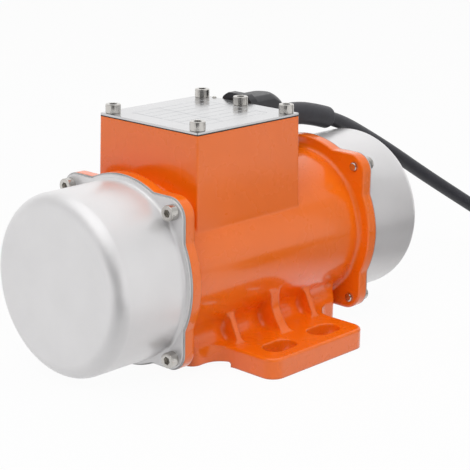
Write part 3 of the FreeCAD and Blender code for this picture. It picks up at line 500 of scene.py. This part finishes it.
def socket_screw(length):
    """A knurled socket head screw along Z, its seat at z = 0."""
    s = sizes()
    chamfer = 0.1 * HEAD_RADIUS
    build = bmesh.new()
    made = bmesh.ops.create_circle(
        build, cap_ends=True, segments=3 * s.knurl_count, radius=SHANK_RADIUS - chamfer)
    bmesh.ops.translate(build, verts=made["verts"], vec=(0, 0, -length))
    # The shank, from its chamfered end up to the seat
    end = raised(build, build.faces[:][0], chamfer, SHANK_RADIUS)
    end = raised(build, end, length - chamfer)
    # The head's underside and its smooth foot
    end = raised(build, end, 0, HEAD_RADIUS - chamfer / 2)
    end = raised(build, end, chamfer / 2, HEAD_RADIUS)
    end = raised(build, end, 0.08 * HEAD_HEIGHT)
    # The knurl, every third corner pulled in
    for rise in (0.04 * HEAD_HEIGHT, 0.70 * HEAD_HEIGHT):
        end = raised(build, end, rise, HEAD_RADIUS)
        groove = (HEAD_RADIUS - s.knurl_depth) / HEAD_RADIUS
        bmesh.ops.scale(build, verts=list(end.verts)[::3], vec=(groove, groove, 1))
    # The rounded rim
    end = raised(build, end, 0.04 * HEAD_HEIGHT, HEAD_RADIUS)
    end = raised(build, end, 0.07 * HEAD_HEIGHT, HEAD_RADIUS - 0.3 * chamfer)
    end = raised(build, end, HEAD_HEIGHT - end.calc_center_median().z, HEAD_RADIUS - 1.1 * chamfer)
    # The hexagon socket with its coned floor
    end = raised(build, end, 0, 0.64 * SOCKET_WIDTH)
    end = raised(build, end, -0.3 * chamfer, 0.6 * SOCKET_WIDTH)
    squeeze_to_hexagon(end, SOCKET_WIDTH)
    end = raised(build, end, -s.socket_depth)
    raised(build, end, -0.1 * SOCKET_WIDTH, 0.08 * SOCKET_WIDTH)
    bmesh.ops.recalc_face_normals(build, faces=build.faces)
    return build


def screw_group(node, seats, direction, length):
    """The screws of one node, each turned a little differently."""
    whole = bmesh.new()
    for i, seat in enumerate(seats):
        build = socket_screw(length)
        turn = Vector((0, 0, 1)).rotation_difference(Vector(direction)).to_matrix().to_4x4()
        spin = Matrix.Rotation(math.radians(FIRST_SPIN + SPIN_STEP * i), 4, "Z")
        bmesh.ops.transform(build, matrix=Matrix.Translation(seat) @ turn @ spin, verts=build.verts)
        mesh = bpy.data.meshes.new("one_screw")
        build.to_mesh(mesh)
        build.free()
        whole.from_mesh(mesh)
        bpy.data.meshes.remove(mesh)
    smooth_by_angle(whole, 24)
    add_piece(node + "_turned", whole, "screw", "housing", [node])


class MOTOR_OT_screws(bpy.types.Operator):
    """The socket head screws of the covers and the lid"""

    bl_idname = "motor.screws"
    bl_label = "Screws"

    def execute(self, context):
        for side, sign in SIDES.items():
            low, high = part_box("cover_screws_" + side)
            offset = high.y - HEAD_RADIUS
            seat_x = sign * (max(abs(low.x), abs(high.x)) - HEAD_HEIGHT)
            corners = [(y, z) for y in (-offset, offset) for z in (-offset, offset)]
            seats = [Vector((seat_x, y, SHAFT_HEIGHT + z)) for y, z in corners]
            screw_group("cover_screws_" + side, seats, (sign, 0, 0), high.x - low.x - HEAD_HEIGHT)
        low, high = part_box("lid_screws")
        seat_z = high.z - HEAD_HEIGHT
        places = [(x, y) for x in (low.x + HEAD_RADIUS, high.x - HEAD_RADIUS)
                  for y in (low.y + HEAD_RADIUS, high.y - HEAD_RADIUS)]
        places.append(tuple(sizes().middle_screw))
        seats = [Vector((x, y, seat_z)) for x, y in places]
        screw_group("lid_screws", seats, (0, 0, 1), seat_z - low.z)
        return {"FINISHED"}


def round_edges(build, edges, radius, segments):
    """Rounds a box's edges."""
    bmesh.ops.bevel(
        build, geom=edges, offset=radius, offset_type="OFFSET", affect="EDGES", segments=segments,
        profile=0.5, material=-1)


class MOTOR_OT_lid(bpy.types.Operator):
    """The terminal lid with its bare ruled plate"""

    bl_idname = "motor.lid"
    bl_label = "Lid"

    def execute(self, context):
        s = sizes()
        low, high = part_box("terminal_lid")
        size = high - low
        build = bmesh.new()
        bmesh.ops.create_cube(build, size=1)
        bmesh.ops.scale(build, vec=size, verts=build.verts)
        upright = [e for e in build.edges if abs(e.verts[0].co.z - e.verts[1].co.z) > size.z / 2]
        round_edges(build, upright, s.lid_corner, 6)
        rims = [e for e in build.edges if abs(e.verts[0].co.z - e.verts[1].co.z) < size.z / 2]
        round_edges(build, rims, 0.15 * size.z, 2)
        bmesh.ops.translate(build, vec=(low + high) / 2, verts=build.verts)
        smooth_by_angle(build, 40)
        finished(add_piece("lid_plate", build, "plate", "housing", ["terminal_lid"]))
        self.add_lines(low, high)
        self.add_rivet(high.z)
        return {"FINISHED"}

    def add_rivet(self, top):
        """The small rivet near the lid's back edge."""
        s = sizes()
        build = bmesh.new()
        bmesh.ops.create_uvsphere(build, u_segments=32, v_segments=16, radius=s.rivet_radius)
        bmesh.ops.scale(build, vec=(1, 1, 0.7), verts=build.verts)
        bmesh.ops.translate(build, vec=(*s.rivet_place, top), verts=build.verts)
        smooth_by_angle(build, 40)
        add_piece("lid_rivet", build, "screw", "housing")

    def add_lines(self, low, high):
        """Faint printed lines, with nothing written between them."""
        s = sizes()
        left, right = low.x + s.plate_margin, high.x - s.plate_margin
        front, back = low.y + s.plate_margin, high.y - s.plate_margin
        build = bmesh.new()
        rows = [front + (back - front) * i / s.line_rows for i in range(s.line_rows + 1)]
        columns = (left, right, left + (right - left) * COLUMN_SHARE)
        bars = [((left + right) / 2, y, right - left, s.line_width) for y in rows]
        bars += [(x, (front + back) / 2, s.line_width, back - front) for x in columns]
        for x, y, length, width in bars:
            verts = bmesh.ops.create_cube(build, size=1)["verts"]
            bmesh.ops.scale(build, vec=(length, width, s.line_height), verts=verts)
            bmesh.ops.translate(build, vec=(x, y, high.z + s.line_height * 0.4), verts=verts)
        add_piece("plate_lines", build, "print", "housing")


class MOTOR_OT_gland(bpy.types.Operator):
    """The cable gland's body and its dome nut"""

    bl_idname = "motor.gland"
    bl_label = "Gland"

    # How much wider and taller than its node each piece is, for its arch behind the lid
    growth = {"gland_body": (1.02, 1.15), "gland_nut": (0.94, 0.97)}

    def execute(self, context):
        for node, (wider, taller) in self.growth.items():
            build = merged_copy(node)
            axis = Matrix.Translation(middle_of("gland_nut"))
            bmesh.ops.scale(build, vec=(1, wider, taller), space=axis.inverted(), verts=build.verts)
            smooth_by_angle(build, 32)
            finished(add_piece(node + "_moulded", build, "plastic", "housing", [node]))
        return {"FINISHED"}


# The coil in millimetres, with where a turn changes its radius or height, as (turn, radius, height)
COIL_MIDDLE = (271.0, -101.0)
COIL_START = 38.0
COIL_TURNS = 3.36
COIL_POINTS = 16
OUTER, INNER = 54.7, 45.7
BOTTOM, TOP = 5.5, 14.5
COIL_PLAN = [
    (0.0, OUTER, BOTTOM), (0.78, OUTER, BOTTOM), (0.97, INNER, BOTTOM), (1.58, INNER, BOTTOM),
    (1.76, INNER, TOP), (2.36, INNER, TOP), (2.56, OUTER, TOP), (3.40, OUTER, TOP),
]


def coil_turns():
    """The coil's turns, wound clockwise seen from above."""
    points = []
    steps = round(COIL_TURNS * COIL_POINTS)
    for i in range(steps + 1):
        turn = COIL_TURNS * i / steps
        radius, height = coil_place(turn)
        angle = math.radians(COIL_START - 360.0 * turn)
        x = COIL_MIDDLE[0] + radius * math.cos(angle)
        y = COIL_MIDDLE[1] + radius * math.sin(angle)
        points.append((x, y, height))
    return points


def coil_place(turn):
    """The coil's radius and height at a turn."""
    stretches = zip(COIL_PLAN, COIL_PLAN[1:])
    (start, r0, z0), (end, r1, z1) = next(pair for pair in stretches if turn <= pair[1][0])
    part = (turn - start) / (end - start)
    ease = part * part * (3 - 2 * part)
    return r0 + (r1 - r0) * ease, z0 + (z1 - z0) * ease


class MOTOR_OT_cable(bpy.types.Operator):
    """The free cable, its coil and its end at the plug"""

    bl_idname = "motor.cable"
    bl_label = "Cable"

    route = [
        (57.7, 12.5, 118.0), (80.0, 12.5, 118.0), (99.0, 12.9, 113.8), (124.0, 14.5, 106.2),
        (148.0, 15.5, 94.8), (176.0, 13.0, 79.2), (205.0, 6.0, 60.0), (232.0, -6.0, 41.0),
        (256.0, -19.5, 23.3), (279.0, -34.0, 10.5), (299.5, -49.0, 5.5),
    ]
    plug_route = [
        (246.0, -155.0, 12.5), (222.0, -156.0, 12.0), (198.0, -158.0, 14.5), (176.0, -159.0, 18.5),
        (154.0, -159.0, 18.5),
    ]

    def execute(self, context):
        points = [Vector(p) * MM for p in self.route + coil_turns() + self.plug_route]
        curve = bpy.data.curves.new("cable_line", "CURVE")
        curve.dimensions = "3D"
        curve.bevel_depth = sizes().cable_radius
        curve.bevel_resolution = 6
        curve.resolution_u = 8
        curve.use_fill_caps = True
        spline = curve.splines.new("NURBS")
        spline.points.add(len(points) - 1)
        for target, point in zip(spline.points, points):
            target.co = (*point, 1.0)
        spline.order_u = 3
        spline.use_endpoint_u = True
        cable = bpy.data.objects.new("cable_line", curve)
        context.scene.collection.objects.link(cable)
        dress(cable, "rubber")
        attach(cable, "housing")
        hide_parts("cable", "cable_coil", "plug_cable")
        for node in ("coil_tie", "plug_neck", "plug_body"):
            keep_node(node, "plastic")
        keep_node("plug_pins", "pin")
        return {"FINISHED"}


class MOTOR_OT_finishes(bpy.types.Operator):
    """Finishes for the CAD nodes that stay"""

    bl_idname = "motor.finishes"
    bl_label = "Finishes"

    finishes = {
        "shield_screws": "screw", "clamp_screw": "screw",
        "terminal_block_screws": "screw", "earth_screw": "screw", "shaft_nut": "ground",
        "weight_key": "ground", "bearing_shield": "cast", "rotor_end_ring": "cast",
        "bearing_outer_ring": "ground", "bearing_inner_ring": "ground", "bearing_balls": "ground",
        "ball_cage": "brass", "rotor_shaft": "ground", "rotor_core": "sheets", "stator_core": "sheets",
        "stator_windings": "winding", "fixed_weight": "weight", "adjustable_weight": "weight",
        "shaft_seal": "gasket", "gland_washer": "gasket", "gland_seal": "gasket", "lid_gasket": "gasket",
        "gland_locknut": "plastic", "terminal_block": "plastic", "terminal_studs": "brass",
        "motor_leads": "lead", "supply_leads": "lead", "cable_tail": "rubber", "cable_sleeve": "rubber",
    }

    def execute(self, context):
        for node in NODES:
            base = node.removesuffix("_left").removesuffix("_right")
            if base in self.finishes:
                keep_node(node, self.finishes[base])
        return {"FINISHED"}


def look_along(azimuth, elevation, roll):
    """The camera's right, up and back directions."""
    level = math.cos(elevation)
    back = Vector((math.sin(azimuth) * level, -math.cos(azimuth) * level, math.sin(elevation)))
    right = (-back).cross(Vector((0, 0, 1))).normalized()
    up = right.cross(-back)
    turned_right = right * math.cos(roll) + up * math.sin(roll)
    turned_up = up * math.cos(roll) - right * math.sin(roll)
    return turned_right, turned_up, back


# Soft boxes: where each stands, what it looks at, its size and its power
LAMPS = {
    "key_box": ((-1.3, -0.5, 1.5), (0, 0, 0.06), (1.5, 1.5), 23.5),
    "side_box": ((0.7, -1.6, 0.9), (0, 0, 0.06), (1.0, 1.4), 11.8),
    "top_box": ((0.2, 0.3, 1.6), (0, 0, 0.05), (1.6, 1.6), 11.8),
}

# The sky's strength on dull surfaces, and the strength of the tones that metal mirrors
SKY_STRENGTH = 0.18
TONE_STRENGTH = 1.35

# The tones from the horizon to overhead, as (height, grey)
TONE_STOPS = [(0.0, 0.68), (0.2, 0.66), (0.45, 0.50), (0.70, 0.52), (0.88, 0.90), (1.0, 1.0)]

# Other greys behind the motor and where the camera stands: direction, start and full reach, grey
TONE_PATCHES = [
    ((0.73, 0.683, 0.0), (0.45, 0.85), 0.80),
    ((-0.80, -0.60, 0.0), (0.72, 0.92), 0.08),
]

# Soft ovals of painted shadow on the floor, which only metal and paint mirror: middle, turn, reach, grey
FLOOR_SHADE_PATCHES = [
    ((-0.45, -0.35), 38.0, (0.52, 0.25), 0.04),
    ((0.30, -0.26), 0.0, (0.16, 0.14), 0.30),
    ((0.18, -0.11), 0.0, (0.12, 0.10), 0.30),
]

# How far the floor reaches, how far below the feet it lies, and how much of it is plain white to the eye
FLOOR_REACH = 4.0
FLOOR_DROP = 0.0002
FLOOR_WHITE = 0.955

# A grey card beside the far cover that only reflections see, a painted reflected shade on that cover: its
# middle, turn, width and height
SHADE_CARD_MIDDLE = (0.302, -0.175, 0.1)
SHADE_CARD_TURN = 45.8
SHADE_CARD_SIZE = (0.14, 0.24)


def area_lamp(name, place, target, size, power):
    """A soft lamp that looks at a point."""
    data = bpy.data.lights.new(name, "AREA")
    data.shape = "RECTANGLE"
    data.size, data.size_y = size
    data.energy = power
    lamp = bpy.data.objects.new(name, data)
    bpy.context.scene.collection.objects.link(lamp)
    lamp.location = place
    lamp.rotation_euler = (Vector(target) - Vector(place)).to_track_quat("-Z", "Y").to_euler()
    lamp.visible_glossy = False


class MOTOR_OT_stage(bpy.types.Operator):
    """Camera, floor, lamps and backdrop"""

    bl_idname = "motor.stage"
    bl_label = "Stage"

    def execute(self, context):
        scene = context.scene
        self.add_camera(scene)
        self.add_floor(scene)
        self.add_reflected_shade_card(scene)
        self.add_lamps(scene)
        scene.view_settings.view_transform = "Standard"
        return {"FINISHED"}

    def add_camera(self, scene):
        """The camera at the photograph's place."""
        view = scene.motor_camera
        right, up, back = look_along(view.azimuth, view.elevation, view.roll)
        data = bpy.data.cameras.new("camera")
        data.sensor_width = 36.0
        data.lens = view.focal_length
        data.shift_x = view.shift_x
        data.clip_start = 0.01
        camera = bpy.data.objects.new("camera", data)
        place = Vector(view.target) + back * view.distance
        axes = Matrix((right, up, back)).transposed().to_4x4()
        camera.matrix_world = Matrix.Translation(place) @ axes
        scene.collection.objects.link(camera)
        scene.camera = camera

    def add_floor(self, scene):
        """A pale floor that shows a faint shadow."""
        build = bmesh.new()
        bmesh.ops.create_grid(build, x_segments=1, y_segments=1, size=FLOOR_REACH)
        mesh = bpy.data.meshes.new("floor")
        build.to_mesh(mesh)
        build.free()
        floor = bpy.data.objects.new("floor", mesh)
        floor.location.z = -FLOOR_DROP
        scene.collection.objects.link(floor)
        mesh.materials.append(floor_material())

    def add_reflected_shade_card(self, scene):
        """A grey card beside the motor, which only the far cover mirrors: a painted reflected shade that
        darkens that cover.
        """
        build = bmesh.new()
        bmesh.ops.create_grid(build, x_segments=1, y_segments=1, size=0.5)
        bmesh.ops.scale(build, vec=(*SHADE_CARD_SIZE, 1), verts=build.verts)
        upright = Matrix.Rotation(math.radians(90), 4, "X")
        turned = Matrix.Rotation(math.radians(SHADE_CARD_TURN), 4, "Z")
        place = Matrix.Translation(SHADE_CARD_MIDDLE) @ turned @ upright
        bmesh.ops.transform(build, matrix=place, verts=build.verts)
        mesh = bpy.data.meshes.new("reflected_shade_card")
        build.to_mesh(mesh)
        build.free()
        card = bpy.data.objects.new("reflected_shade_card", mesh)
        scene.collection.objects.link(card)
        # The card's grey, seen only in metal, is a painted reflected shade on the far cover
        mesh.materials.append(moulded_material("reflected_shade_paper", (0.60, 0.60, 0.60), 0.8, 0.01))
        card.visible_camera = False
        card.visible_diffuse = False
        card.visible_shadow = False

    def add_lamps(self, scene):
        """Soft boxes and an even sky. Metal sees the backdrop's tones, brightest overhead."""
        for name, settings in LAMPS.items():
            area_lamp(name, *settings)
        world = bpy.data.worlds.new("studio")
        scene.world = world
        world.use_nodes = True
        tree = world.node_tree
        sky = tree.nodes["Background"]
        sky.inputs["Color"].default_value = (1.0, 1.0, 1.0, 1.0)
        sky.inputs["Strength"].default_value = SKY_STRENGTH
        tones = tree.nodes.new("ShaderNodeBackground")
        self.link_tones(tree, tones)
        backdrop = tree.nodes.new("ShaderNodeBackground")
        backdrop.inputs["Color"].default_value = (1.0, 1.0, 1.0, 1.0)
        backdrop.inputs["Strength"].default_value = 1.0
        light_path = tree.nodes.new("ShaderNodeLightPath")
        in_metal = tree.nodes.new("ShaderNodeMixShader")
        tree.links.new(seen_rays(tree, by_eye=False), in_metal.inputs["Fac"])
        tree.links.new(sky.outputs["Background"], in_metal.inputs[1])
        tree.links.new(tones.outputs["Background"], in_metal.inputs[2])
        by_eye = tree.nodes.new("ShaderNodeMixShader")
        tree.links.new(light_path.outputs["Is Camera Ray"], by_eye.inputs["Fac"])
        tree.links.new(in_metal.outputs["Shader"], by_eye.inputs[1])
        tree.links.new(backdrop.outputs["Background"], by_eye.inputs[2])
        tree.links.new(by_eye.outputs["Shader"], tree.nodes["World Output"].inputs["Surface"])

    def link_tones(self, tree, tones):
        """The greys that metal mirrors, by height and direction."""
        place = tree.nodes.new("ShaderNodeTexCoord")
        split = tree.nodes.new("ShaderNodeSeparateXYZ")
        tree.links.new(place.outputs["Generated"], split.inputs["Vector"])
        ramp = tree.nodes.new("ShaderNodeValToRGB")
        while len(ramp.color_ramp.elements) < len(TONE_STOPS):
            ramp.color_ramp.elements.new(0.5)
        for element, (height, grey) in zip(ramp.color_ramp.elements, TONE_STOPS):
            element.position = height
            element.color = (grey, grey, grey, 1.0)
        tree.links.new(split.outputs["Z"], ramp.inputs["Fac"])
        tone = ramp.outputs["Color"]
        for direction, reach, grey in TONE_PATCHES:
            tone = self.add_patch(tree, place, tone, direction, reach, grey)
        tree.links.new(tone, tones.inputs["Color"])
        tones.inputs["Strength"].default_value = TONE_STRENGTH

    def add_patch(self, tree, place, tone, direction, reach, grey):
        """Another grey in one direction, from where it starts to where it is full."""
        along = tree.nodes.new("ShaderNodeVectorMath")
        along.operation = "DOT_PRODUCT"
        along.inputs[1].default_value = direction
        tree.links.new(place.outputs["Generated"], along.inputs[0])
        share = tree.nodes.new("ShaderNodeMapRange")
        share.inputs["From Min"].default_value = reach[0]
        share.inputs["From Max"].default_value = reach[1]
        tree.links.new(along.outputs["Value"], share.inputs["Value"])
        mix = tree.nodes.new("ShaderNodeMix")
        mix.data_type = "RGBA"
        mix.inputs[MIX_SECOND].default_value = (grey, grey, grey, 1.0)
        tree.links.new(share.outputs["Result"], mix.inputs[MIX_FACTOR])
        tree.links.new(tone, mix.inputs[MIX_FIRST])
        return mix.outputs[MIX_RESULT]


def seen_rays(tree, by_eye=True):
    """One for the rays that see it in metal or through glass, and by eye where asked."""
    light_path = tree.nodes.new("ShaderNodeLightPath")
    seen = ["Is Glossy Ray", "Is Transmission Ray"]
    if by_eye:
        seen.append("Is Camera Ray")
    total = light_path.outputs[seen[0]]
    for name in seen[1:]:
        both = tree.nodes.new("ShaderNodeMath")
        both.operation = "MAXIMUM"
        tree.links.new(total, both.inputs[0])
        tree.links.new(light_path.outputs[name], both.inputs[1])
        total = both.outputs[0]
    return total


def floor_material():
    """White paper that keeps part of the shadow. Metal sees soft ovals of painted shadow on it."""
    s = Shader("floor_paper")
    s.set(Base_Color=(0.7, 0.7, 0.7, 1.0), Roughness=0.9)
    glow = s.add("ShaderNodeEmission")
    tone = None
    for place, turn, reach, grey in FLOOR_SHADE_PATCHES:
        tone = painted_floor_shade(s, tone, place, turn, reach, grey)
    s.link(tone, glow.inputs["Color"])
    part = s.add("ShaderNodeMath", operation="MULTIPLY")
    part.inputs[1].default_value = FLOOR_WHITE
    s.link(seen_rays(s.tree), part.inputs[0])
    mix = s.add("ShaderNodeMixShader")
    s.link(part.outputs[0], mix.inputs["Fac"])
    s.link(s.surface.outputs["BSDF"], mix.inputs[1])
    s.link(glow.outputs["Emission"], mix.inputs[2])
    s.link(mix.outputs["Shader"], s.tree.nodes["Material Output"].inputs["Surface"])
    return s.material


def painted_floor_shade(s, tone, place, turn, reach, grey):
    """A soft oval of painted shadow on the floor, which only metal and paint mirror."""
    coordinates = s.add("ShaderNodeTexCoord")
    spot = s.add("ShaderNodeMapping", vector_type="TEXTURE")
    spot.inputs["Location"].default_value = (*place, 0.0)
    spot.inputs["Rotation"].default_value = (0.0, 0.0, math.radians(turn))
    spot.inputs["Scale"].default_value = (*reach, 1.0)
    s.link(coordinates.outputs["Object"], spot.inputs["Vector"])
    gradient = s.add("ShaderNodeTexGradient", gradient_type="SPHERICAL")
    s.link(spot.outputs["Vector"], gradient.inputs["Vector"])
    full = s.add("ShaderNodeMapRange")
    full.inputs["From Max"].default_value = 0.5
    s.link(gradient.outputs["Fac"], full.inputs["Value"])
    # Only glossy rays see this painted shadow
    light_path = s.add("ShaderNodeLightPath")
    share = s.add("ShaderNodeMath", operation="MULTIPLY")
    s.link(full.outputs["Result"], share.inputs[0])
    s.link(light_path.outputs["Is Glossy Ray"], share.inputs[1])
    mix = s.add("ShaderNodeMix", data_type="RGBA")
    mix.inputs[MIX_FIRST].default_value = (1.0, 1.0, 1.0, 1.0)
    mix.inputs[MIX_SECOND].default_value = (grey, grey, grey, 1.0)
    s.link(share.outputs[0], mix.inputs[MIX_FACTOR])
    if tone:
        s.link(tone, mix.inputs[MIX_FIRST])
    return mix.outputs[MIX_RESULT]


class MOTOR_PT_panel(bpy.types.Panel):
    """Lists the motor's operators"""

    bl_idname = "MOTOR_PT_panel"
    bl_label = "Vibration motor"
    bl_space_type = "VIEW_3D"
    bl_region_type = "UI"
    bl_category = "Motor"

    def draw(self, context):
        for operator in OPERATORS:
            self.layout.operator(operator.bl_idname)


GROUPS = {"motor_sizes": MotorSizes, "motor_colours": MotorColours, "motor_camera": MotorCamera}
OPERATORS = [
    MOTOR_OT_stage, MOTOR_OT_cable, MOTOR_OT_casting, MOTOR_OT_covers, MOTOR_OT_screws, MOTOR_OT_lid,
    MOTOR_OT_gland, MOTOR_OT_finishes,
]


def register():
    """Makes the panel, the operators and the settings known."""
    for group in GROUPS.values():
        bpy.utils.register_class(group)
    for operator in OPERATORS:
        bpy.utils.register_class(operator)
    bpy.utils.register_class(MOTOR_PT_panel)
    for name, group in GROUPS.items():
        setattr(bpy.types.Scene, name, PointerProperty(type=group))


def unregister():
    """Takes them away again."""
    for name in GROUPS:
        delattr(bpy.types.Scene, name)
    bpy.utils.unregister_class(MOTOR_PT_panel)
    for item in reversed(list(GROUPS.values()) + OPERATORS):
        bpy.utils.unregister_class(item)


def main():
    """Builds every piece."""
    register()
    bpy.ops.motor.stage()
    bpy.ops.motor.cable()
    bpy.ops.motor.casting()
    bpy.ops.motor.covers()
    bpy.ops.motor.screws()
    bpy.ops.motor.lid()
    bpy.ops.motor.gland()
    bpy.ops.motor.finishes()


if __name__ == "__main__":
    main()
